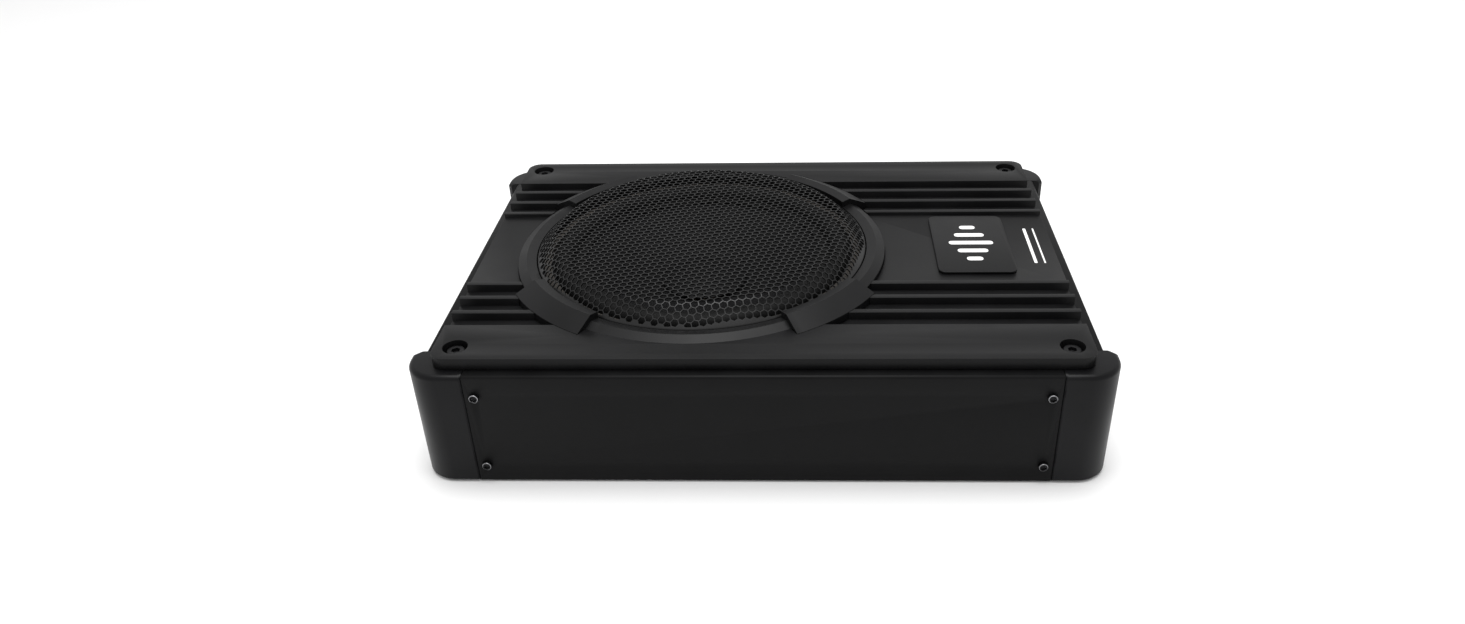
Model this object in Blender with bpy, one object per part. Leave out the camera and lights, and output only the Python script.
"""Powered under-seat car subwoofer: an aluminium-panelled box with a cast heatsink lid.

The box stands on its feet at z = 0 with +Z up.  +X runs along the long side towards the
end that holds the amplifier, and -Y is the plain long side that faces the seat.
All sizes are in metres.
"""

import math

import bmesh
import bpy
from mathutils import Matrix, Vector

# ---------------------------------------------------------------- driving dimensions
MM = 0.001
CLEAR = 0.3 * MM                    # gap between two pieces that touch

# box
BODY_LENGTH = 335.4 * MM            # outside of the end panels
BODY_DEPTH = 245.8 * MM             # outside of the long panels
BODY_HEIGHT = 63.8 * MM             # lower edge to rim
FOOT_PROUD = 1.0 * MM               # the feet lift the lower edge off the floor
PANEL_WALL = 2.5 * MM
RIM_FLANGE = 15.0 * MM              # the panels' upper flange, under the lid
BASE_FLANGE = 9.0 * MM
FLANGE_WALL = 2.0 * MM
RIM_ROUND = 1.6 * MM

# corner caps
CAP_PROUD_END = 6.5 * MM            # the caps stand out from the end panels
CAP_PROUD_SIDE = 0.3 * MM           # and are all but flush with the long panels
CAP_LEG = 22.8 * MM                 # from the panels' outer faces to the caps' seams
CAP_RADIUS = 17.0 * MM
CAP_END_SLANT = 2.2 * MM            # the slanted edge beside an end panel
CAP_SEAM_SLANT = 0.8 * MM           # the small one beside a long panel
CAP_WALL = 3.0 * MM
CAP_ROUND = 2.6 * MM
CAP_POST_RADIUS = 4.6 * MM
CAP_TAB_LENGTH = 12.0 * MM          # the tongues behind the panels that take the screws
CAP_TAB_LIFT = 7.0 * MM
CAP_ARC_STEPS = 6

# lid
LID_MARGIN_END = 6.4 * MM           # rim left bare at the ends
LID_MARGIN_SIDE = 5.7 * MM          # rim left bare along the long sides
LID_RISE = 6.55 * MM                # rim to the lid's top
LID_CORNER = 7.5 * MM
SPIGOT_DROP = 4.0 * MM              # the lid's lower step, inside the rim
SPIGOT_GAP = 1.2 * MM
GROOVE_DEPTH = 4.5 * MM
FLAT_DROP = 2.4 * MM                # the middle field lies below the rib tops
RIB_WIDTH = 3.4 * MM
RIB_PITCH = 14.8 * MM
RIB_COUNT = 3
FIRST_RIB = 43.2 * MM               # first rib's centre line from the lid's centre line
LID_SCREW_PAST_END_SEAM = 5.5 * MM  # the screws go down into the caps, past their seams
LID_SCREW_PAST_SIDE_SEAM = 6.1 * MM
COUNTERBORE_RADIUS = 6.2 * MM
COUNTERBORE_DEPTH = 4.6 * MM
LID_SCREW_RADIUS = 2.0 * MM
LID_SCREW_HEAD = 4.4 * MM
LID_SCREW_HEAD_HEIGHT = 2.4 * MM
LID_SCREW_LENGTH = 20.0 * MM

# panel screws
PANEL_SCREW_INSET = 5.2 * MM        # from the caps' seam
PANEL_SCREW_LOW = 10.0 * MM         # above the lower edge
PANEL_SCREW_HIGH_DROP = 12.1 * MM   # below the rim
PANEL_SCREW_RADIUS = 1.3 * MM
PANEL_SCREW_HEAD = 2.3 * MM
PANEL_SCREW_HEAD_HEIGHT = 1.5 * MM
PANEL_SCREW_HEX = 1.25 * MM
PANEL_SCREW_LENGTH = 8.0 * MM

# speaker opening
DRIVER_X = -37.3 * MM               # the speaker's axis
RING_BORE = 93.2 * MM
RING_INNER_BAND = 5.3 * MM          # bore to crest
RING_WIDTH = 10.1 * MM              # bore to outer edge
RING_BORE_RISE = 1.0 * MM           # heights above the lid's top
RING_CREST_RISE = 2.0 * MM
RING_EDGE_DROP = 0.3 * MM
BLOCK_WIDTH = 16.4 * MM             # the four raised blocks on the diagonals
BLOCK_BORE_RISE = 4.5 * MM
BLOCK_CREST_RISE = 5.5 * MM
BLOCK_START = 30.0                  # degrees from the long axis
BLOCK_END = 60.0
RING_STEP = 3.75
BLOCK_END_CLEAR = 1.0               # no station is nearer to a block's end
BLOCK_END_STEP = 0.02               # a block's square end, as a very short turn
GRILLE_GAP = 0.5 * MM
GRILLE_SLANT = 11.2 * MM            # the ring's bore to the grille's flat field
GRILLE_RISE = 10.7 * MM
GRILLE_EDGE_RISE = 1.0 * MM
GRILLE_WALL = 1.0 * MM
GRILLE_BEND = 3.0 * MM              # from the flat field into the slanted edge

# speaker
FLANGE_GAP = 0.7 * MM               # inside the grille's skirt
REBATE_DEPTH = 2.9 * MM             # below the groove floor
HOLE_GAP = 0.4 * MM                 # the lid's opening outside the half roll
BASKET_WALL = 1.5 * MM
BASKET_STEP = 3.0 * MM              # the landing's shoulder
BASKET_FOOT_STEP = 6.0 * MM         # from the landing down to the motor seat
BASKET_WINDOWS = 6
WINDOW_MARGIN = 5.0 * MM
WINDOW_SPREAD = 0.40                # half width over radius
LANDING_RISE = 6.5 * MM             # above the motor seat
LANDING_INSIDE = 8.0 * MM           # the landing's ledge, inside and outside the spider's edge
LANDING_OUTSIDE = 2.0 * MM
FLANGE_WIDTH = 7.0 * MM
ROLL_WIDTH = 12.0 * MM              # the surround's half roll
SURROUND_WALL = 0.8 * MM
SURROUND_LIP = 5.5 * MM
GASKET_WALL = 1.8 * MM
GASKET_SETBACK = 1.5 * MM           # from the half roll
CONE_WALL = 1.0 * MM
CONE_DEPTH = 18.8 * MM
FORMER_RADIUS = 19.0 * MM
FORMER_WALL = 0.8 * MM
COIL_WALL = 1.3 * MM
COIL_HEIGHT = 13.0 * MM
FORMER_BELOW_COIL = 1.5 * MM
DUST_CAP_MARGIN = 5.0 * MM          # outside the coil former
DUST_CAP_RISE = 6.0 * MM
SPIDER_INSET = 14.5 * MM            # inside the half roll
SPIDER_WALL = 0.7 * MM
SPIDER_RIPPLE = 1.0 * MM
SPIDER_RIPPLES = 3
SPIDER_HUB_FLAT = 5.0 * MM          # flat cloth round the former
AIR_GAP = 1.2 * MM
MAGNET_WIDTH = 19.0 * MM
MAGNET_SETBACK = 3.2 * MM           # the magnet's bore outside the air gap
MAGNET_HEIGHT = 12.0 * MM
YOKE_SETBACK = 3.0 * MM             # the plates' edges inside the magnet's
YOKE_WALL = 5.0 * MM
YOKE_VENT = 6.0 * MM
BASE_CLEARANCE = 4.0 * MM           # back of the magnet to the bottom plate

# bottom plate and feet
BASE_WALL = 2.0 * MM
FOOT_RADIUS = 9.0 * MM
FOOT_INSET = 40.0 * MM              # from the panels' outer faces

# badge
BADGE_LENGTH = 68.4 * MM            # along Y
BADGE_WIDTH = 42.6 * MM
BADGE_RISE = 1.6 * MM
BADGE_CORNER = 4.0 * MM
BADGE_END_INSET = 31.1 * MM         # from the end panel's outer face
BADGE_SHIFT = 3.2 * MM

# amplifier
BOARD_LENGTH = 98.0 * MM            # along X
BOARD_SIDE_GAP = 4.1 * MM           # from the caps' tongues
BOARD_WALL = 1.6 * MM
BOARD_DROP = 10.5 * MM              # below the lid's spigot
BOARD_GAP = 1.5 * MM
BOSS_RADIUS = 4.0 * MM
BOSS_INSET = 8.0 * MM
TRANSISTOR_SIZE = Vector((15.0, 10.5, 4.4)) * MM
TRANSISTOR_SPREAD = 26.0 * MM
CLAMP_WALL = 2.0 * MM
CLAMP_WIDTH = 9.0 * MM
CAPACITOR_RADIUS = 8.0 * MM
CAPACITOR_HEIGHT = 25.0 * MM
CAPACITOR_SPREAD = 34.0 * MM
CAPACITOR_INSET = 20.0 * MM         # from the board's inner edge
INDUCTOR_RADIUS = 14.0 * MM
INDUCTOR_BORE = 6.0 * MM
INDUCTOR_HEIGHT = 12.0 * MM
INDUCTOR_ROUND = 2.0 * MM

# the row of sockets and controls on the amplifier end
ROW_GAP = 4.6 * MM
ROW_HEIGHT = 14.0 * MM              # the connector bodies hang this far under the board
ROW_DEPTH = 14.0 * MM               # and reach this far in from the panel
SOCKET_PROUD = 3.6 * MM             # and stand this far out of it
SOCKET_WALL = 1.6 * MM
TERMINAL_WIDTH = 34.0 * MM
TERMINAL_COUNT = 3
FUSE_HOLDER_WIDTH = 24.0 * MM
FUSE_WIDTH = 18.0 * MM
FUSE_THICKNESS = 4.4 * MM
FUSE_LENGTH = 12.0 * MM
SIGNAL_WIDTH = 18.0 * MM
RCA_WIDTH = 34.0 * MM
RCA_RADIUS = 4.2 * MM
RCA_BORE = 1.7 * MM
REMOTE_WIDTH = 14.0 * MM
KNOB_RADIUS = 4.2 * MM
KNOB_LENGTH = 6.0 * MM
KNOB_SLOT = 0.9 * MM
POT_WIDTH = 11.0 * MM
SWITCH_WIDTH = 12.0 * MM
SWITCH_LEVER = 3.0 * MM
SWITCH_TRAVEL = 2.5 * MM
LED_RADIUS = 1.5 * MM
LED_PROUD = 0.8 * MM
WELL_DEPTH = 9.0 * MM               # depth of the sockets' wells
FUSE_GRIP = 1.0 * MM                # the fuse stands out of its holder
KNOB_PROUD = 4.4 * MM
SHAFT_RADIUS = 1.4 * MM
CONTROL_DROP = 20.0 * MM            # the controls' row under the sockets' row
CONTROL_DEPTH = 7.0 * MM            # depth of the controls' bodies
CONTROL_SETBACK = 1.0 * MM          # their face behind the panel
CONTROL_BOARD_HALF = 8.8 * MM       # half the control board's height

# mesh resolution
ROUND_STEPS = 48                    # the speaker's opening and grille
INNER_STEPS = 32                    # the speaker's own round pieces
SPIDER_STEPS = 24
COARSE_STEPS = 24                   # knobs, capacitors, feet and counterbores
SMALL_STEPS = 16
HOLE_STEPS = 12
HEX_STEPS = 6
SMOOTH_ANGLE = 40                   # degrees, edges under this are shaded smooth

# ---------------------------------------------------------------- worked-out places
HALF_X = BODY_LENGTH / 2
HALF_Y = BODY_DEPTH / 2
CAP_X = HALF_X + CAP_PROUD_END
CAP_Y = HALF_Y + CAP_PROUD_SIDE
SEAM_X = HALF_X - CAP_LEG
SEAM_Y = HALF_Y - CAP_LEG
FLOOR_EDGE = FOOT_PROUD
RIM = FLOOR_EDGE + BODY_HEIGHT
LID_TOP = RIM + LID_RISE
LID_UNDER = RIM + CLEAR
GROOVE_FLOOR = LID_TOP - GROOVE_DEPTH
FLAT_TOP = LID_TOP - FLAT_DROP
LID_X = HALF_X - LID_MARGIN_END
LID_Y = HALF_Y - LID_MARGIN_SIDE
SPIGOT_UNDER = LID_UNDER - SPIGOT_DROP
SPIGOT_X = SEAM_X - SPIGOT_GAP
SPIGOT_Y = HALF_Y - PANEL_WALL - RIM_FLANGE - SPIGOT_GAP
STRIP_EDGE = FIRST_RIB + RIB_COUNT * RIB_PITCH - RIB_WIDTH / 2
LID_SCREW_X = SEAM_X + LID_SCREW_PAST_END_SEAM
LID_SCREW_Y = SEAM_Y + LID_SCREW_PAST_SIDE_SEAM
COUNTERBORE_FLOOR = LID_TOP - COUNTERBORE_DEPTH
SCREW_SLIP = 2 * CLEAR

RING_CREST = RING_BORE + RING_INNER_BAND
RING_OUTER = RING_BORE + RING_WIDTH
BLOCK_OUTER = RING_BORE + BLOCK_WIDTH
GRILLE_RADIUS = RING_BORE - GRILLE_GAP
GRILLE_FLAT_RADIUS = RING_BORE - GRILLE_SLANT
FLANGE_RADIUS = GRILLE_RADIUS - GRILLE_WALL - FLANGE_GAP
ROLL_OUTER = FLANGE_RADIUS - FLANGE_WIDTH
ROLL_INNER = ROLL_OUTER - ROLL_WIDTH
DRIVER_HOLE = ROLL_OUTER + HOLE_GAP
SPIDER_RADIUS = ROLL_INNER - SPIDER_INSET
DUST_CAP_RADIUS = FORMER_RADIUS + DUST_CAP_MARGIN

FLANGE_SEAT = GROOVE_FLOOR - REBATE_DEPTH
FLANGE_TOP = FLANGE_SEAT + CLEAR + BASKET_WALL
SURROUND_Z = FLANGE_TOP + CLEAR + SURROUND_WALL / 2
SURROUND_TOP = SURROUND_Z + SURROUND_WALL / 2
CONE_RIM_Z = SURROUND_Z - SURROUND_WALL / 2 - CLEAR - CONE_WALL / 2
CONE_NECK_Z = CONE_RIM_Z - CONE_DEPTH
CONE_NECK_RADIUS = FORMER_RADIUS + 2 * CLEAR
BASE_TOP = FLOOR_EDGE + FLANGE_WALL + CLEAR + BASE_WALL
YOKE_UNDER = BASE_TOP + BASE_CLEARANCE
YOKE_TOP = YOKE_UNDER + YOKE_WALL
MAGNET_TOP = YOKE_TOP + CLEAR + MAGNET_HEIGHT
TOP_PLATE_TOP = MAGNET_TOP + CLEAR + YOKE_WALL
POLE_RADIUS = FORMER_RADIUS - FORMER_WALL - AIR_GAP
COIL_RADIUS = FORMER_RADIUS + CLEAR + COIL_WALL
GAP_BORE = COIL_RADIUS + AIR_GAP
MAGNET_BORE = GAP_BORE + MAGNET_SETBACK
MAGNET_OUTER = MAGNET_BORE + MAGNET_WIDTH
YOKE_OUTER = MAGNET_OUTER - YOKE_SETBACK
COIL_MIDDLE = MAGNET_TOP + CLEAR + YOKE_WALL / 2
FORMER_UNDER = COIL_MIDDLE - COIL_HEIGHT / 2 - FORMER_BELOW_COIL
BASKET_FLOOR = TOP_PLATE_TOP + CLEAR + BASKET_WALL / 2
LANDING_Z = BASKET_FLOOR + LANDING_RISE
SPIDER_Z = LANDING_Z + BASKET_WALL / 2 + CLEAR + SPIDER_WALL / 2
SPIDER_HUB = FORMER_RADIUS + 2 * CLEAR

PANEL_IN_X = HALF_X - PANEL_WALL
BOARD_TOP = SPIGOT_UNDER - BOARD_DROP
BOARD_UNDER = BOARD_TOP - BOARD_WALL
BOARD_END = PANEL_IN_X - BOARD_GAP
BOARD_START = BOARD_END - BOARD_LENGTH
ROW_TOP = BOARD_UNDER - CLEAR
ROW_Z = ROW_TOP - ROW_HEIGHT / 2
AMP_X = (BOARD_START + SPIGOT_X) / 2
BOARD_HALF_WIDTH = SEAM_Y - CAP_TAB_LENGTH - BOARD_SIDE_GAP
CONTROL_Z = ROW_Z - CONTROL_DROP
CONTROL_FACE = PANEL_IN_X - CONTROL_SETBACK
CONTROL_BOARD_X = CONTROL_FACE - CONTROL_DEPTH - CLEAR


# ---------------------------------------------------------------- helpers
def clear_scene():
    for item in list(bpy.data.objects):
        bpy.data.objects.remove(item, do_unlink=True)


def material(name, colour, roughness, metallic=0.0):
    """A Principled material in one colour."""
    finish = bpy.data.materials.get(name)
    if finish is None:
        finish = bpy.data.materials.new(name)
        finish.use_nodes = True
        shader = finish.node_tree.nodes["Principled BSDF"]
        shader.inputs["Base Color"].default_value = (*colour, 1.0)
        shader.inputs["Roughness"].default_value = roughness
        shader.inputs["Metallic"].default_value = metallic
    return finish


def powder_coat():
    return material("powder_coat", (0.045, 0.046, 0.048), 0.55, 0.3)


def panel_coat():
    return material("panel_coat", (0.018, 0.018, 0.019), 0.5, 0.3)


def black_plastic():
    return material("black_plastic", (0.025, 0.025, 0.027), 0.45)


def black_rubber():
    return material("black_rubber", (0.012, 0.012, 0.012), 0.8)


def steel():
    return material("plated_steel", (0.55, 0.55, 0.53), 0.35, 1.0)


def black_steel():
    return material("black_steel", (0.02, 0.02, 0.021), 0.45, 0.6)


def place_mesh(name, bm, finish, smooth_angle=None):
    """Turns a bmesh into a named object with outward faces."""
    bmesh.ops.recalc_face_normals(bm, faces=bm.faces)
    mesh = bpy.data.meshes.new(name)
    bm.to_mesh(mesh)
    bm.free()
    if smooth_angle is not None:
        mesh.shade_smooth()
        mesh.set_sharp_from_angle(angle=math.radians(smooth_angle))
    item = bpy.data.objects.new(name, mesh)
    bpy.context.collection.objects.link(item)
    if finish is not None:
        item.data.materials.append(finish)
    return item


def loft(name, rings, finish=None, smooth_angle=None):
    """A closed solid through stacked rings of points, capped at both ends."""
    bm = bmesh.new()
    loops = [[bm.verts.new(point) for point in ring] for ring in rings]
    for lower, upper in zip(loops, loops[1:]):
        for i, vert in enumerate(lower):
            after = (i + 1) % len(lower)
            bm.faces.new((vert, lower[after], upper[after], upper[i]))
    bm.faces.new(loops[0])
    bm.faces.new(loops[-1])
    return place_mesh(name, bm, finish, smooth_angle)


def prism(name, outline, low, high, finish=None, smooth_angle=None):
    """An upright extrusion of an outline in X and Y."""
    rings = [[(x, y, z) for x, y in outline] for z in (low, high)]
    return loft(name, rings, finish, smooth_angle)


def block(name, low, high, finish=None):
    """A box between two opposite corners."""
    outline = [(low[0], low[1]), (high[0], low[1]), (high[0], high[1]), (low[0], high[1])]
    return prism(name, outline, low[2], high[2], finish)


def circle(centre, radius, steps=SMALL_STEPS):
    turns = [2 * math.pi * i / steps for i in range(steps)]
    return [(centre[0] + radius * math.cos(t), centre[1] + radius * math.sin(t)) for t in turns]


def post(name, centre, radius, low, high, finish=None, steps=SMALL_STEPS):
    """An upright round bar."""
    return prism(name, circle(centre, radius, steps), low, high, finish, SMOOTH_ANGLE)


def bar_x(name, y, z, radius, low, high, finish=None, steps=SMALL_STEPS):
    """A round bar along X."""
    rings = [[(x, p, q) for p, q in circle((y, z), radius, steps)] for x in (low, high)]
    return loft(name, rings, finish, SMOOTH_ANGLE)


def bar_y(name, x, z, radius, low, high, finish=None, steps=SMALL_STEPS):
    """A round bar along Y."""
    rings = [[(p, y, q) for p, q in circle((x, z), radius, steps)] for y in (low, high)]
    return loft(name, rings, finish, SMOOTH_ANGLE)


def arc(centre, radius, start, end, steps):
    """Points on an arc, angles in degrees."""
    turns = [math.radians(start + (end - start) * i / steps) for i in range(steps + 1)]
    return [(centre[0] + radius * math.cos(t), centre[1] + radius * math.sin(t)) for t in turns]


def rounded_rectangle(half_x, half_y, radius, centre=(0.0, 0.0), steps=5):
    points = []
    corners = ((1, 1, 0), (-1, 1, 90), (-1, -1, 180), (1, -1, 270))
    for sx, sy, start in corners:
        middle = (centre[0] + sx * (half_x - radius), centre[1] + sy * (half_y - radius))
        points += arc(middle, radius, start, start + 90, steps)
    return points


def turned(name, profile, finish=None, steps=INNER_STEPS, centre_x=DRIVER_X, smooth_angle=SMOOTH_ANGLE):
    """Turns a closed profile of (radius, height) about the speaker's axis."""
    bm = bmesh.new()
    loops = []
    for i in range(steps):
        turn = 2 * math.pi * i / steps
        along, across = math.cos(turn), math.sin(turn)
        loops.append([bm.verts.new((centre_x + r * along, r * across, z)) for r, z in profile])
    for i, loop in enumerate(loops):
        following = loops[(i + 1) % steps]
        for j, vert in enumerate(loop):
            after = (j + 1) % len(loop)
            bm.faces.new((vert, loop[after], following[after], following[j]))
    return place_mesh(name, bm, finish, smooth_angle)


def turned_cap(name, upper, lower, finish, steps=ROUND_STEPS, centre_x=DRIVER_X):
    """A dished shell: upper and lower lines run from the axis out, and start at radius 0."""
    bm = bmesh.new()
    line = upper[1:] + lower[:0:-1]
    top = bm.verts.new((centre_x, 0.0, upper[0][1]))
    bottom = bm.verts.new((centre_x, 0.0, lower[0][1]))
    loops = []
    for i in range(steps):
        turn = 2 * math.pi * i / steps
        along, across = math.cos(turn), math.sin(turn)
        loops.append([bm.verts.new((centre_x + r * along, r * across, z)) for r, z in line])
    for i, loop in enumerate(loops):
        following = loops[(i + 1) % steps]
        bm.faces.new((top, loop[0], following[0]))
        bm.faces.new((bottom, following[-1], loop[-1]))
        for j in range(len(loop) - 1):
            bm.faces.new((loop[j], loop[j + 1], following[j + 1], following[j]))
    return place_mesh(name, bm, finish, SMOOTH_ANGLE)


def thick_line(points, wall):
    """The closed outline of a line of points given a wall thickness."""
    left, right = [], []
    for i, point in enumerate(points):
        before = Vector(points[max(i - 1, 0)])
        after = Vector(points[min(i + 1, len(points) - 1)])
        along = (after - before).normalized()
        side = Vector((-along.y, along.x)) * wall / 2
        left.append((point[0] + side.x, point[1] + side.y))
        right.append((point[0] - side.x, point[1] - side.y))
    return left + right[::-1]


def use_as(item, tool, operation):
    """Adds a Boolean to an item and hides the tool from the model."""
    step = item.modifiers.new(tool.name, "BOOLEAN")
    step.operation = operation
    step.solver = "EXACT"
    step.object = tool
    tool.hide_render = True
    tool.display_type = "WIRE"


def cut(item, *tools):
    for tool in tools:
        use_as(item, tool, "DIFFERENCE")


def weld(item, *tools):
    for tool in tools:
        use_as(item, tool, "UNION")


# ---------------------------------------------------------------- box panels
def panel_profile(face):
    """The rolled section of a panel: distance from the middle, and height."""
    inside = face - PANEL_WALL
    outline = [(face, FLOOR_EDGE)]
    outline += arc((face - RIM_ROUND, RIM - RIM_ROUND), RIM_ROUND, 0, 90, 4)
    outline += [(inside - RIM_FLANGE, RIM), (inside - RIM_FLANGE, RIM - FLANGE_WALL)]
    outline += [(inside, RIM - FLANGE_WALL), (inside, FLOOR_EDGE + FLANGE_WALL)]
    outline += [(inside - BASE_FLANGE, FLOOR_EDGE + FLANGE_WALL), (inside - BASE_FLANGE, FLOOR_EDGE)]
    return outline


def panel_screw_places():
    """Along X and up: the four screws of a long panel."""
    across = SEAM_X - PANEL_SCREW_INSET
    heights = (FLOOR_EDGE + PANEL_SCREW_LOW, RIM - PANEL_SCREW_HIGH_DROP)
    return [(side * across, z) for side in (-1, 1) for z in heights]


def make_long_panel(name, side):
    reach = SEAM_X - CLEAR
    rings = [[(x, side * y, z) for y, z in panel_profile(HALF_Y)] for x in (-reach, reach)]
    panel = loft(name, rings, panel_coat(), SMOOTH_ANGLE)
    for i, (x, z) in enumerate(panel_screw_places()):
        hole = bar_y(f"{name}_hole_{i}", x, z, PANEL_SCREW_RADIUS + SCREW_SLIP,
                     side * (HALF_Y - 2 * PANEL_WALL), side * (HALF_Y + PANEL_WALL), steps=HOLE_STEPS)
        cut(panel, hole)
    return panel


def make_end_panel(name, side):
    reach = SEAM_Y - CLEAR
    rings = [[(side * x, y, z) for x, z in panel_profile(HALF_X)] for y in (-reach, reach)]
    return loft(name, rings, panel_coat(), SMOOTH_ANGLE)


def make_panel_screw(name, x, z, side):
    """A socket-head screw that holds a long panel to a cap's tongue."""
    face = HALF_Y + CLEAR
    head = bar_y(name, x, z, PANEL_SCREW_HEAD, side * face,
                 side * (face + PANEL_SCREW_HEAD_HEIGHT), steel(), SMALL_STEPS)
    shank = bar_y(name + "_shank", x, z, PANEL_SCREW_RADIUS,
                  side * (face + PANEL_SCREW_HEAD_HEIGHT / 2),
                  side * (face - PANEL_SCREW_LENGTH), steps=HOLE_STEPS)
    socket = bar_y(name + "_socket", x, z, PANEL_SCREW_HEX,
                   side * (face + PANEL_SCREW_HEAD_HEIGHT / 2),
                   side * (face + 2 * PANEL_SCREW_HEAD_HEIGHT), steps=HEX_STEPS)
    weld(head, shank)
    cut(head, socket)
    return head


def make_bottom_plate():
    """The floor sheet lies on the panels' lower flanges, notched for the caps."""
    x, y = PANEL_IN_X - CLEAR, HALF_Y - PANEL_WALL - CLEAR
    notch_x, notch_y = SEAM_X - CLEAR, SEAM_Y - CLEAR
    outline = []
    for sx, sy in ((1, 1), (-1, 1), (-1, -1), (1, -1)):
        corner = [(sx * x, sy * notch_y), (sx * notch_x, sy * notch_y), (sx * notch_x, sy * y)]
        outline += corner if sx * sy > 0 else corner[::-1]
    low = BASE_TOP - BASE_WALL
    return prism("bottom_plate", outline, low, BASE_TOP, black_steel())


def make_feet():
    for end, sx in (("left", -1), ("right", 1)):
        for side, sy in (("front", -1), ("rear", 1)):
            centre = (sx * (HALF_X - FOOT_INSET), sy * (HALF_Y - FOOT_INSET))
            top = BASE_TOP - BASE_WALL - CLEAR
            post(f"foot_{side}_{end}", centre, FOOT_RADIUS, 0.0, top, black_rubber(), COARSE_STEPS)


# ---------------------------------------------------------------- corner caps
def cap_outline(sx, sy, inset):
    """A cap's plan, with its outer sides drawn in by the inset."""
    x, y, radius = CAP_X - inset, CAP_Y - inset, CAP_RADIUS - inset
    points = [(SEAM_X, SEAM_Y), (x - CAP_END_SLANT, SEAM_Y), (x, SEAM_Y + CAP_END_SLANT)]
    points += arc((x - radius, y - radius), radius, 0, 90, CAP_ARC_STEPS)
    points += [(SEAM_X + CAP_SEAM_SLANT, y), (SEAM_X, y - CAP_SEAM_SLANT)]
    return [(sx * px, sy * py) for px, py in points]


def make_cap(name, sx, sy):
    """A moulded corner, open below, with a post for the lid screw and two tongues."""
    levels = ((FLOOR_EDGE, CAP_ROUND / 2), (FLOOR_EDGE + CAP_ROUND / 2, 0.0), (RIM - CAP_ROUND, 0.0),
              (RIM - CAP_ROUND * 0.3, CAP_ROUND * 0.3), (RIM, CAP_ROUND))
    rings = [[(x, y, z) for x, y in cap_outline(sx, sy, inset)] for z, inset in levels]
    cap = loft(name, rings, black_plastic(), SMOOTH_ANGLE)

    x, y, radius = CAP_X - CAP_WALL, CAP_Y - CAP_WALL, CAP_RADIUS - CAP_WALL
    near_x, near_y = SEAM_X + CAP_WALL, SEAM_Y + CAP_WALL
    hollow = [(near_x, near_y), (x, near_y)]
    hollow += arc((x - radius, y - radius), radius, 0, 90, CAP_ARC_STEPS)
    hollow += [(near_x, y)]
    cavity = prism(name + "_cavity", [(sx * px, sy * py) for px, py in hollow],
                   FLOOR_EDGE - CAP_WALL, RIM - CAP_WALL)

    screw = (sx * LID_SCREW_X, sy * LID_SCREW_Y)
    pillar = post(name + "_pillar", screw, CAP_POST_RADIUS,
                  FLOOR_EDGE + CAP_WALL, RIM - CAP_WALL / 2)
    hole = post(name + "_hole", screw, LID_SCREW_RADIUS + CLEAR,
                RIM - LID_SCREW_LENGTH - CAP_WALL, RIM + CAP_WALL, steps=HOLE_STEPS)

    low, high = FLOOR_EDGE + CAP_TAB_LIFT, RIM - CAP_TAB_LIFT
    back_y = HALF_Y - PANEL_WALL - CLEAR
    back_x = PANEL_IN_X - CLEAR
    tongue_y = block(name + "_tongue_side",
                     (sx * (SEAM_X - CAP_TAB_LENGTH), sy * (back_y - CAP_WALL), low),
                     (sx * (SEAM_X + CAP_WALL / 2), sy * back_y, high))
    tongue_x = block(name + "_tongue_end",
                     (sx * (back_x - CAP_WALL), sy * (SEAM_Y - CAP_TAB_LENGTH), low),
                     (sx * back_x, sy * (SEAM_Y + CAP_WALL / 2), high))
    cut(cap, cavity)
    weld(cap, pillar, tongue_y, tongue_x)
    cut(cap, hole)
    for i, (px, pz) in enumerate(panel_screw_places()):
        if px * sx > 0:
            thread = bar_y(f"{name}_thread_{i}", px, pz, PANEL_SCREW_RADIUS + CLEAR,
                           sy * (back_y - 2 * CAP_WALL), sy * (back_y + PANEL_WALL), steps=HOLE_STEPS)
            cut(cap, thread)
    return cap


# ---------------------------------------------------------------- lid
def ring_stations(slack=0.0):
    """Angles round the bezel, each with whether it is on a raised block.

    A block's square end is two stations a hair apart.  The slack widens the blocks.
    """
    quarter = (BLOCK_START, BLOCK_END)
    lobes = [quarter, (180 - quarter[1], 180 - quarter[0]),
             (180 + quarter[0], 180 + quarter[1]), (360 - quarter[1], 360 - quarter[0])]
    stations = []
    for i in range(round(360 / RING_STEP)):
        turn = i * RING_STEP
        clear_of_ends = all(abs(turn - end) > BLOCK_END_CLEAR for lobe in lobes for end in lobe)
        if clear_of_ends:
            stations.append((turn, any(start < turn < end for start, end in lobes)))
    for start, end in lobes:
        stations += [(start - slack - BLOCK_END_STEP, False), (start - slack, True),
                     (end + slack, True), (end + slack + BLOCK_END_STEP, False)]
    return sorted(stations)


def lid_section():
    """The lid's section across the ribs, as (y, z), from one long side to the other."""
    half = [(0.0, FLAT_TOP)]
    for i in range(RIB_COUNT):
        middle = FIRST_RIB + i * RIB_PITCH
        near, far = middle - RIB_WIDTH / 2, middle + RIB_WIDTH / 2
        before = FLAT_TOP if i == 0 else GROOVE_FLOOR
        half += [(near, before), (near, LID_TOP), (far, LID_TOP), (far, GROOVE_FLOOR)]
    half += [(STRIP_EDGE, GROOVE_FLOOR), (STRIP_EDGE, LID_TOP), (LID_Y, LID_TOP), (LID_Y, LID_UNDER)]
    mirrored = [(-y, z) for y, z in half[1:]]
    return half[1:] + mirrored[::-1]


def ring_pocket_outline():
    """The pocket that takes the bezel, with its four wider lobes."""
    points = []
    slack = math.degrees(CLEAR / RING_OUTER)
    for turn, raised in ring_stations(slack):
        reach = (BLOCK_OUTER if raised else RING_OUTER) + CLEAR
        angle = math.radians(turn)
        points.append((DRIVER_X + reach * math.cos(angle), reach * math.sin(angle)))
    return points


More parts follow.
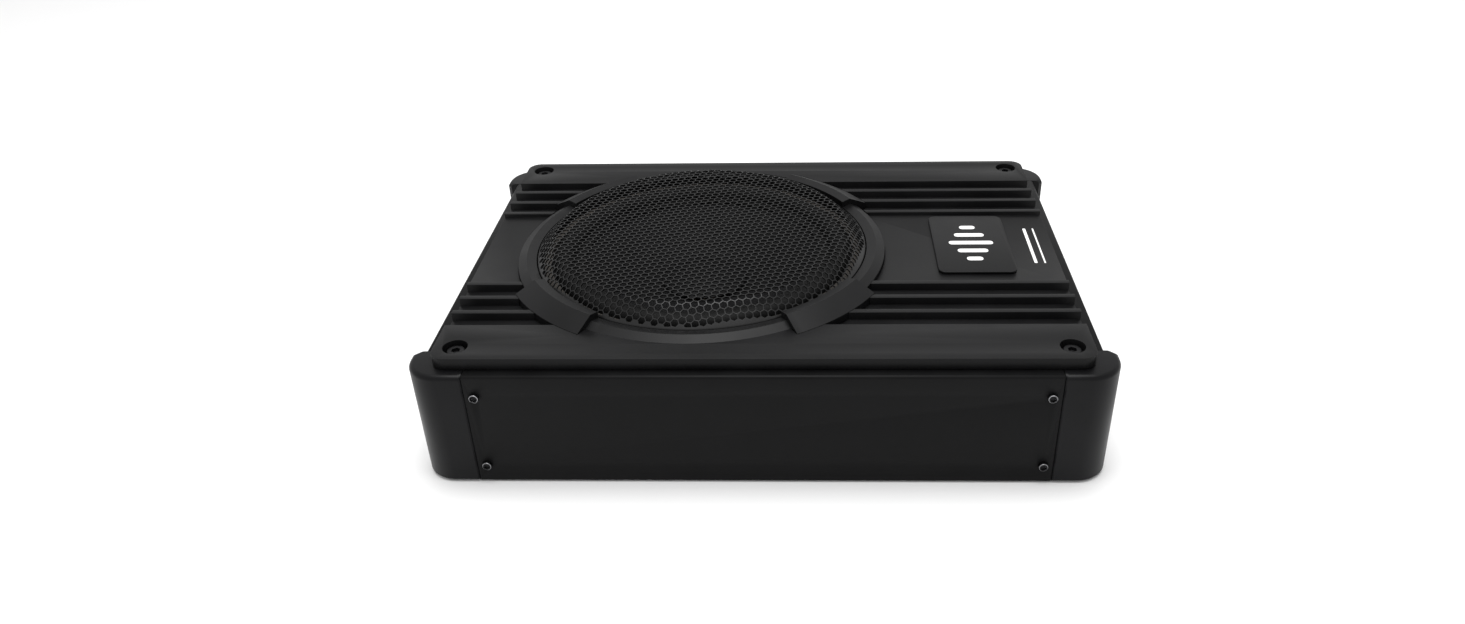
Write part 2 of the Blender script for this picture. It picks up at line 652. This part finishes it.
def board_fixings():
    """Where the circuit board hangs from the lid."""
    near, far = BOARD_START + BOSS_INSET, SPIGOT_X - BOSS_INSET
    across = BOARD_HALF_WIDTH - BOSS_INSET
    return [(x, side * across) for x in (near, far) for side in (-1, 1)]


def make_lid():
    section = lid_section()
    rings = [[(x, y, z) for y, z in section] for x in (-LID_X, LID_X)]
    lid = loft("top_plate", rings, powder_coat())
    shape = prism("top_plate_outline", rounded_rectangle(LID_X, LID_Y, LID_CORNER),
                  LID_UNDER - SPIGOT_DROP, LID_TOP + LID_RISE)
    use_as(lid, shape, "INTERSECT")
    spigot = block("top_plate_spigot", (-SPIGOT_X, -SPIGOT_Y, SPIGOT_UNDER),
                   (SPIGOT_X, SPIGOT_Y, (LID_UNDER + GROOVE_FLOOR) / 2))
    weld(lid, spigot)
    for i, centre in enumerate(board_fixings()):
        boss = post(f"top_plate_boss_{i}", centre, BOSS_RADIUS, BOARD_TOP + CLEAR,
                    SPIGOT_UNDER + SPIGOT_DROP / 2, steps=HOLE_STEPS)
        weld(lid, boss)
    pocket = prism("top_plate_pocket", ring_pocket_outline(), GROOVE_FLOOR, LID_TOP + LID_RISE)
    rebate = post("top_plate_rebate", (DRIVER_X, 0.0), FLANGE_RADIUS + CLEAR,
                  FLANGE_SEAT, LID_TOP + LID_RISE, steps=ROUND_STEPS)
    opening = post("top_plate_opening", (DRIVER_X, 0.0), DRIVER_HOLE,
                   SPIGOT_UNDER - LID_RISE, LID_TOP + LID_RISE, steps=ROUND_STEPS)
    cut(lid, pocket, rebate, opening)
    for i, (sx, sy) in enumerate(((1, 1), (-1, 1), (-1, -1), (1, -1))):
        centre = (sx * LID_SCREW_X, sy * LID_SCREW_Y)
        bore = post(f"top_plate_bore_{i}", centre, COUNTERBORE_RADIUS,
                    COUNTERBORE_FLOOR, LID_TOP + LID_RISE, steps=COARSE_STEPS)
        hole = post(f"top_plate_hole_{i}", centre, LID_SCREW_RADIUS + SCREW_SLIP,
                    LID_UNDER - LID_RISE, LID_TOP, steps=HOLE_STEPS)
        cut(lid, bore, hole)
    return lid


def make_lid_screws():
    for end, sx in (("left", -1), ("right", 1)):
        for side, sy in (("front", -1), ("rear", 1)):
            name = f"lid_screw_{side}_{end}"
            centre = (sx * LID_SCREW_X, sy * LID_SCREW_Y)
            seat = COUNTERBORE_FLOOR + CLEAR
            top = seat + LID_SCREW_HEAD_HEIGHT
            head = post(name, centre, LID_SCREW_HEAD, seat, top, steel(), COARSE_STEPS)
            shank = post(name + "_shank", centre, LID_SCREW_RADIUS,
                         seat - LID_SCREW_LENGTH, seat + LID_SCREW_HEAD_HEIGHT / 2, steps=HOLE_STEPS)
            socket = post(name + "_socket", centre, LID_SCREW_RADIUS,
                          seat + LID_SCREW_HEAD_HEIGHT / 2, top + LID_SCREW_HEAD_HEIGHT, steps=HEX_STEPS)
            weld(head, shank)
            cut(head, socket)


def make_badge():
    """A plain raised name plate on the middle field."""
    centre = (HALF_X - BADGE_END_INSET - BADGE_WIDTH / 2, BADGE_SHIFT)
    outline = rounded_rectangle(BADGE_WIDTH / 2, BADGE_LENGTH / 2, BADGE_CORNER, centre)
    low = FLAT_TOP + CLEAR
    return prism("badge_plate", outline, low, FLAT_TOP + BADGE_RISE, powder_coat())


# ---------------------------------------------------------------- bezel and grille
def ring_section(raised):
    """The bezel's section, as (radius, height)."""
    foot = GROOVE_FLOOR + CLEAR
    if raised:
        return [(RING_BORE, foot), (RING_BORE, LID_TOP + BLOCK_BORE_RISE),
                (RING_CREST, LID_TOP + BLOCK_CREST_RISE), (BLOCK_OUTER, LID_TOP), (BLOCK_OUTER, foot)]
    return [(RING_BORE, foot), (RING_BORE, LID_TOP + RING_BORE_RISE),
            (RING_CREST, LID_TOP + RING_CREST_RISE), (RING_OUTER, LID_TOP - RING_EDGE_DROP),
            (RING_OUTER, foot)]


def make_bezel():
    bm = bmesh.new()
    loops = []
    for turn, raised in ring_stations():
        along, across = math.cos(math.radians(turn)), math.sin(math.radians(turn))
        loops.append([bm.verts.new((DRIVER_X + r * along, r * across, z))
                      for r, z in ring_section(raised)])
    for i, loop in enumerate(loops):
        following = loops[(i + 1) % len(loops)]
        for j, vert in enumerate(loop):
            after = (j + 1) % len(loop)
            bm.faces.new((vert, loop[after], following[after], following[j]))
    return place_mesh("bezel_ring", bm, powder_coat(), SMOOTH_ANGLE)


def make_grille():
    """A pressed steel dish: a short skirt, a slanted edge and a flat field."""
    edge = GRILLE_RADIUS
    foot = GROOVE_FLOOR + CLEAR
    shoulder = LID_TOP + GRILLE_EDGE_RISE
    top = LID_TOP + GRILLE_RISE
    bend = GRILLE_BEND
    line = [(0.0, top), (GRILLE_FLAT_RADIUS - bend, top), (GRILLE_FLAT_RADIUS, top - bend / 6),
            (GRILLE_FLAT_RADIUS + bend, top - bend * 0.8), (edge, shoulder), (edge, foot)]
    inner = [(0.0, top - GRILLE_WALL), (GRILLE_FLAT_RADIUS - bend, top - GRILLE_WALL),
             (GRILLE_FLAT_RADIUS - GRILLE_WALL / 2, top - bend / 6 - GRILLE_WALL),
             (GRILLE_FLAT_RADIUS + bend - GRILLE_WALL, top - bend * 0.8 - GRILLE_WALL),
             (edge - GRILLE_WALL, shoulder - GRILLE_WALL / 2), (edge - GRILLE_WALL, foot)]
    return turned_cap("grille", line, inner, black_steel())


# ---------------------------------------------------------------- speaker
def make_basket():
    """The pressed frame: flange, sloping arms, spider landing and motor seat."""
    flange = FLANGE_TOP - BASKET_WALL / 2
    neck = DRIVER_HOLE - BASKET_WALL
    landing_in, landing_out = SPIDER_RADIUS - LANDING_INSIDE, SPIDER_RADIUS + LANDING_OUTSIDE
    line = [(FLANGE_RADIUS, flange), (neck, flange), (landing_out + BASKET_STEP, LANDING_Z + BASKET_STEP),
            (landing_out, LANDING_Z), (landing_in, LANDING_Z), (landing_in - BASKET_FOOT_STEP, BASKET_FLOOR),
            (GAP_BORE + CLEAR, BASKET_FLOOR)]
    basket = turned("basket", thick_line(line, BASKET_WALL), black_steel())
    near, far = landing_out + WINDOW_MARGIN, neck - WINDOW_MARGIN
    corners = [(near, -WINDOW_SPREAD), (far, -WINDOW_SPREAD), (far, WINDOW_SPREAD), (near, WINDOW_SPREAD)]
    for i in range(BASKET_WINDOWS):
        turn = 2 * math.pi * (i + 0.5) / BASKET_WINDOWS
        along = Vector((math.cos(turn), math.sin(turn)))
        side = Vector((-along.y, along.x))
        outline = []
        for reach, share in corners:
            spot = along * reach + side * reach * share
            outline.append((DRIVER_X + spot.x, spot.y))
        window = prism(f"basket_window_{i}", outline, LANDING_Z + BASKET_STEP + BASKET_WALL / 2,
                       FLANGE_SEAT - BASKET_WALL)
        cut(basket, window)
    return basket


def make_surround():
    """The rubber half roll between the basket and the cone."""
    middle = (ROLL_OUTER + ROLL_INNER) / 2
    radius = (ROLL_OUTER - ROLL_INNER) / 2
    line = [(ROLL_OUTER + SURROUND_LIP, SURROUND_Z)]
    line += arc((middle, SURROUND_Z), radius, 0, 180, 6)
    line += [(ROLL_INNER - SURROUND_LIP, SURROUND_Z)]
    return turned("surround", thick_line(line, SURROUND_WALL), black_rubber())


def make_gasket():
    inner, outer = ROLL_OUTER + GASKET_SETBACK, ROLL_OUTER + SURROUND_LIP
    low = SURROUND_TOP + CLEAR
    profile = [(inner, low), (outer, low), (outer, low + GASKET_WALL), (inner, low + GASKET_WALL)]
    finish = material("gasket_board", (0.05, 0.045, 0.04), 0.9)
    return turned("gasket", profile, finish)


def make_cone():
    line = [(ROLL_INNER - CLEAR, CONE_RIM_Z), (ROLL_INNER - SURROUND_LIP, CONE_RIM_Z - CLEAR),
            (CONE_NECK_RADIUS, CONE_NECK_Z)]
    finish = material("cone_paper", (0.02, 0.02, 0.022), 0.7)
    return turned("cone", thick_line(line, CONE_WALL), finish)


def cone_height(radius):
    """The height of the cone's middle surface."""
    rim = ROLL_INNER - SURROUND_LIP
    share = (radius - CONE_NECK_RADIUS) / (rim - CONE_NECK_RADIUS)
    return CONE_NECK_Z + share * (CONE_RIM_Z - CLEAR - CONE_NECK_Z)


def make_dust_cap():
    low = cone_height(DUST_CAP_RADIUS) + CONE_WALL + CLEAR
    steps = 4
    upper, lower = [], []
    for i in range(steps + 1):
        radius = DUST_CAP_RADIUS * i / steps
        rise = DUST_CAP_RISE * (1 - (i / steps) ** 2)
        upper.append((radius, low + rise + CONE_WALL))
        lower.append((radius, low + rise))
    finish = material("dust_cap_paper", (0.022, 0.022, 0.024), 0.6)
    return turned_cap("dust_cap", upper, lower, finish, INNER_STEPS)


def make_former():
    top = CONE_NECK_Z + CONE_WALL
    inner = FORMER_RADIUS - FORMER_WALL
    profile = [(inner, FORMER_UNDER), (FORMER_RADIUS, FORMER_UNDER), (FORMER_RADIUS, top), (inner, top)]
    finish = material("former_film", (0.35, 0.22, 0.08), 0.4)
    return turned("coil_former", profile, finish)


def make_coil():
    low, high = COIL_MIDDLE - COIL_HEIGHT / 2, COIL_MIDDLE + COIL_HEIGHT / 2
    inner = FORMER_RADIUS + CLEAR
    profile = [(inner, low), (COIL_RADIUS, low), (COIL_RADIUS, high), (inner, high)]
    finish = material("copper_wire", (0.7, 0.3, 0.12), 0.35, 1.0)
    return turned("voice_coil", profile, finish)


def make_spider():
    """The corrugated cloth disc that centres the coil."""
    start, end = SPIDER_HUB + SPIDER_HUB_FLAT, SPIDER_RADIUS - LANDING_INSIDE
    steps = SPIDER_RIPPLES * 4
    line = [(SPIDER_HUB, SPIDER_Z)]
    for i in range(steps + 1):
        share = i / steps
        wave = SPIDER_RIPPLE * math.sin(2 * math.pi * SPIDER_RIPPLES * share)
        line.append((start + (end - start) * share, SPIDER_Z + SPIDER_RIPPLE + wave))
    line += [(end + 2 * SPIDER_RIPPLE, SPIDER_Z), (SPIDER_RADIUS, SPIDER_Z)]
    finish = material("spider_cloth", (0.45, 0.33, 0.14), 0.9)
    return turned("spider", thick_line(line, SPIDER_WALL), finish, SPIDER_STEPS)


def make_motor():
    """Back plate with its pole, ring magnet and front plate."""
    pole = [(YOKE_VENT, YOKE_UNDER), (YOKE_OUTER, YOKE_UNDER), (YOKE_OUTER, YOKE_TOP),
            (POLE_RADIUS, YOKE_TOP), (POLE_RADIUS, TOP_PLATE_TOP), (YOKE_VENT, TOP_PLATE_TOP)]
    turned("back_plate", pole, steel())
    low = YOKE_TOP + CLEAR
    magnet = [(MAGNET_BORE, low), (MAGNET_OUTER, low), (MAGNET_OUTER, MAGNET_TOP),
              (MAGNET_BORE, MAGNET_TOP)]
    turned("magnet", magnet, material("ferrite", (0.03, 0.03, 0.032), 0.6, 0.2))
    low = MAGNET_TOP + CLEAR
    plate = [(GAP_BORE, low), (YOKE_OUTER, low), (YOKE_OUTER, TOP_PLATE_TOP), (GAP_BORE, TOP_PLATE_TOP)]
    turned("front_plate", plate, steel())


# ---------------------------------------------------------------- amplifier
def make_board():
    finish = material("circuit_board", (0.02, 0.10, 0.05), 0.5)
    low = (BOARD_START, -BOARD_HALF_WIDTH, BOARD_UNDER)
    high = (BOARD_END, BOARD_HALF_WIDTH, BOARD_TOP)
    return block("amplifier_board", low, high, finish)


def make_transistors():
    """Two power transistors lie against the lid, held by a clamp bar."""
    finish = material("moulded_epoxy", (0.015, 0.015, 0.015), 0.4)
    top = SPIGOT_UNDER - CLEAR
    size = TRANSISTOR_SIZE
    for label, side in (("front", -1), ("rear", 1)):
        y = side * TRANSISTOR_SPREAD
        block(f"transistor_{label}", (AMP_X - size.x / 2, y - size.y / 2, top - size.z),
              (AMP_X + size.x / 2, y + size.y / 2, top), finish)
    clamp_top = top - size.z - CLEAR
    reach = TRANSISTOR_SPREAD + size.y
    block("transistor_clamp", (AMP_X - CLAMP_WIDTH / 2, -reach, clamp_top - CLAMP_WALL),
          (AMP_X + CLAMP_WIDTH / 2, reach, clamp_top), steel())


def make_capacitors():
    finish = material("capacitor_sleeve", (0.02, 0.02, 0.05), 0.35)
    x = BOARD_START + CAPACITOR_INSET
    for label, side in (("front", -1), ("rear", 1)):
        post(f"capacitor_{label}", (x, side * CAPACITOR_SPREAD), CAPACITOR_RADIUS,
             ROW_TOP - CAPACITOR_HEIGHT, ROW_TOP, finish, COARSE_STEPS)


def make_inductor():
    """The ring choke of the power supply."""
    low, high, soft = ROW_TOP - INDUCTOR_HEIGHT, ROW_TOP, INDUCTOR_ROUND
    profile = [(INDUCTOR_BORE, low), (INDUCTOR_RADIUS - soft, low), (INDUCTOR_RADIUS, low + soft),
               (INDUCTOR_RADIUS, high - soft), (INDUCTOR_RADIUS - soft, high), (INDUCTOR_BORE, high)]
    finish = material("copper_wire", (0.7, 0.3, 0.12), 0.35, 1.0)
    return turned("inductor", profile, finish, steps=COARSE_STEPS, centre_x=AMP_X)


# ---------------------------------------------------------------- sockets and controls
def spread(widths, start, gap):
    """The middle of each piece in a row that runs from the rear to the front."""
    places, edge = {}, start
    for label, width in widths:
        places[label] = edge - width / 2
        edge -= width + gap
    return places


def socket_places():
    widths = [("power", TERMINAL_WIDTH), ("fuse", FUSE_HOLDER_WIDTH), ("signal", SIGNAL_WIDTH),
              ("rca", RCA_WIDTH), ("remote", REMOTE_WIDTH)]
    return spread(widths, BOARD_HALF_WIDTH, ROW_GAP)


def control_places():
    widths = [("gain", POT_WIDTH), ("filter", POT_WIDTH), ("boost", POT_WIDTH),
              ("phase", SWITCH_WIDTH), ("led", SWITCH_WIDTH)]
    return spread(widths, BOARD_HALF_WIDTH - ROW_GAP, 2 * ROW_GAP)


def socket_block(name, panel, y, width, wells, finish):
    """A connector that reaches through the end panel, with wells open to the outside."""
    face = HALF_X + SOCKET_PROUD
    half = Vector((width, ROW_HEIGHT)) / 2
    body = block(name, (PANEL_IN_X - ROW_DEPTH, y - half.x, ROW_Z - half.y),
                 (face, y + half.x, ROW_Z + half.y), finish)
    window = block(name + "_window", (PANEL_IN_X - PANEL_WALL, y - half.x - CLEAR, ROW_Z - half.y - CLEAR),
                   (face + PANEL_WALL, y + half.x + CLEAR, ROW_Z + half.y + CLEAR))
    cut(panel, window)
    for i, (shift, well_width, well_height, depth) in enumerate(wells):
        middle = y + shift
        well = block(f"{name}_well_{i}", (face - depth, middle - well_width / 2, ROW_Z - well_height / 2),
                     (face + PANEL_WALL, middle + well_width / 2, ROW_Z + well_height / 2))
        cut(body, well)
    return body


def make_power_terminals(panel, y):
    """Three open terminals for supply, remote turn-on and ground."""
    pitch = TERMINAL_WIDTH / TERMINAL_COUNT
    wells = []
    for i in range(TERMINAL_COUNT):
        shift = (i - (TERMINAL_COUNT - 1) / 2) * pitch
        wells.append((shift, pitch - 2 * SOCKET_WALL, ROW_HEIGHT - 3 * SOCKET_WALL, WELL_DEPTH))
    socket_block("power_terminals", panel, y, TERMINAL_WIDTH, wells, black_plastic())


def make_fuse(panel, y):
    """A blade fuse that pulls straight out of its holder."""
    well = (0.0, FUSE_WIDTH + 2 * CLEAR, FUSE_THICKNESS + 2 * CLEAR, FUSE_LENGTH)
    socket_block("fuse_holder", panel, y, FUSE_HOLDER_WIDTH, [well], black_plastic())
    high = HALF_X + SOCKET_PROUD + FUSE_GRIP
    finish = material("fuse_amber", (0.75, 0.35, 0.02), 0.3)
    block("fuse", (high - FUSE_LENGTH, y - FUSE_WIDTH / 2, ROW_Z - FUSE_THICKNESS / 2),
          (high, y + FUSE_WIDTH / 2, ROW_Z + FUSE_THICKNESS / 2), finish)


def make_rca(panel, y):
    """Two line-level sockets on one moulding behind the panel."""
    half = Vector((RCA_WIDTH, ROW_HEIGHT)) / 2
    body = block("rca_sockets", (PANEL_IN_X - ROW_DEPTH, y - half.x, ROW_Z - half.y),
                 (PANEL_IN_X - CLEAR, y + half.x, ROW_Z + half.y), black_plastic())
    face = HALF_X + SOCKET_PROUD
    for i, side in enumerate((-1, 1)):
        middle = y + side * RCA_WIDTH / 4
        barrel = bar_x(f"rca_barrel_{i}", middle, ROW_Z, RCA_RADIUS, PANEL_IN_X - ROW_DEPTH / 2, face)
        bore = bar_x(f"rca_bore_{i}", middle, ROW_Z, RCA_BORE, face - WELL_DEPTH,
                     face + PANEL_WALL, steps=HOLE_STEPS)
        hole = bar_x(f"rca_hole_{i}", middle, ROW_Z, RCA_RADIUS + SCREW_SLIP,
                     PANEL_IN_X - PANEL_WALL, face)
        weld(body, barrel)
        cut(body, bore)
        cut(panel, hole)


def make_pot(label, panel, y):
    """A rotary control: its body on the control board and the knob in the panel."""
    finish = material("pot_case", (0.06, 0.06, 0.065), 0.4, 0.5)
    half = POT_WIDTH / 2
    body = block(f"{label}_pot", (CONTROL_BOARD_X + CLEAR, y - half, CONTROL_Z - half),
                 (CONTROL_FACE, y + half, CONTROL_Z + half), finish)
    high = HALF_X + KNOB_PROUD
    shaft = bar_x(f"{label}_shaft", y, CONTROL_Z, SHAFT_RADIUS, CONTROL_FACE - CONTROL_DEPTH / 2,
                  high - KNOB_LENGTH / 2, steps=HOLE_STEPS)
    weld(body, shaft)
    knob = bar_x(f"{label}_knob", y, CONTROL_Z, KNOB_RADIUS, high - KNOB_LENGTH, high,
                 black_plastic(), COARSE_STEPS)
    bore = bar_x(f"{label}_bore", y, CONTROL_Z, SHAFT_RADIUS + CLEAR, high - 2 * KNOB_LENGTH,
                 high - KNOB_LENGTH / 2 + CLEAR, steps=HOLE_STEPS)
    slot = block(f"{label}_slot", (high - KNOB_SLOT, y - KNOB_SLOT / 2, CONTROL_Z - KNOB_RADIUS / 2),
                 (high + KNOB_SLOT, y + KNOB_SLOT / 2, CONTROL_Z + 2 * KNOB_RADIUS))
    cut(knob, bore, slot)
    hole = bar_x(f"{label}_hole", y, CONTROL_Z, KNOB_RADIUS + SCREW_SLIP,
                 PANEL_IN_X - PANEL_WALL, high, steps=COARSE_STEPS)
    cut(panel, hole)
    set_origin(knob, (high, y, CONTROL_Z))


def make_switch(panel, y):
    """A two-position slide switch for the phase."""
    half = SWITCH_WIDTH / 2
    finish = material("pot_case", (0.06, 0.06, 0.065), 0.4, 0.5)
    block("phase_switch", (CONTROL_BOARD_X + CLEAR, y - half, CONTROL_Z - half / 2),
          (CONTROL_FACE, y + half, CONTROL_Z + half / 2), finish)
    lever = SWITCH_LEVER / 2
    rest = y - SWITCH_TRAVEL / 2
    block("phase_lever", (CONTROL_FACE + CLEAR, rest - lever, CONTROL_Z - lever),
          (HALF_X + KNOB_PROUD, rest + lever, CONTROL_Z + lever), black_plastic())
    reach = lever + SWITCH_TRAVEL / 2 + CLEAR
    slot = block("phase_slot", (PANEL_IN_X - PANEL_WALL, y - reach, CONTROL_Z - lever - CLEAR),
                 (HALF_X + PANEL_WALL, y + reach, CONTROL_Z + lever + CLEAR))
    cut(panel, slot)


def make_led(panel, y):
    finish = material("led_lens", (0.1, 0.15, 0.5), 0.2)
    bar_x("power_led", y, CONTROL_Z, LED_RADIUS, CONTROL_BOARD_X + CLEAR, HALF_X + LED_PROUD,
          finish, SMALL_STEPS)
    hole = bar_x("led_hole", y, CONTROL_Z, LED_RADIUS + CLEAR, PANEL_IN_X - PANEL_WALL,
                 HALF_X + PANEL_WALL, steps=SMALL_STEPS)
    cut(panel, hole)


def make_control_board(places):
    finish = material("circuit_board", (0.02, 0.10, 0.05), 0.5)
    low_y = min(places.values()) - POT_WIDTH
    high_y = max(places.values()) + POT_WIDTH
    block("control_board", (CONTROL_BOARD_X - BOARD_WALL, low_y, CONTROL_Z - CONTROL_BOARD_HALF),
          (CONTROL_BOARD_X, high_y, CONTROL_Z + CONTROL_BOARD_HALF), finish)


def set_origin(item, place):
    """Moves an object's origin and leaves its shape where it is."""
    item.data.transform(Matrix.Translation(-Vector(place)))
    item.location = place


def make_sockets(panel):
    places = socket_places()
    make_power_terminals(panel, places["power"])
    make_fuse(panel, places["fuse"])
    signal_well = (0.0, SIGNAL_WIDTH - 2 * SOCKET_WALL, ROW_HEIGHT - 3 * SOCKET_WALL, WELL_DEPTH)
    socket_block("signal_socket", panel, places["signal"], SIGNAL_WIDTH, [signal_well], black_plastic())
    make_rca(panel, places["rca"])
    remote_well = (0.0, REMOTE_WIDTH - 2 * SOCKET_WALL, ROW_HEIGHT - 4 * SOCKET_WALL, WELL_DEPTH)
    socket_block("remote_socket", panel, places["remote"], REMOTE_WIDTH, [remote_well], black_plastic())


def make_controls(panel):
    places = control_places()
    make_control_board(places)
    for label in ("gain", "filter", "boost"):
        make_pot(label, panel, places[label])
    make_switch(panel, places["phase"])
    make_led(panel, places["led"])


# ---------------------------------------------------------------- whole object
def build():
    clear_scene()
    make_long_panel("front_panel", -1)
    make_long_panel("rear_panel", 1)
    make_end_panel("left_panel", -1)
    right_panel = make_end_panel("right_panel", 1)
    make_bottom_plate()
    make_feet()
    for end, sx in (("left", -1), ("right", 1)):
        for side, sy in (("front", -1), ("rear", 1)):
            make_cap(f"cap_{side}_{end}", sx, sy)
    for i, (x, z) in enumerate(panel_screw_places()):
        end = "left" if x < 0 else "right"
        height = ("low", "high")[i % 2]
        make_panel_screw(f"panel_screw_{end}_{height}", x, z, -1)
    make_lid()
    make_lid_screws()
    make_badge()
    make_bezel()
    make_grille()
    for maker in (make_basket, make_surround, make_gasket, make_cone, make_dust_cap,
                  make_former, make_coil, make_spider, make_motor):
        maker()
    for maker in (make_board, make_transistors, make_capacitors, make_inductor):
        maker()
    make_sockets(right_panel)
    make_controls(right_panel)


build()
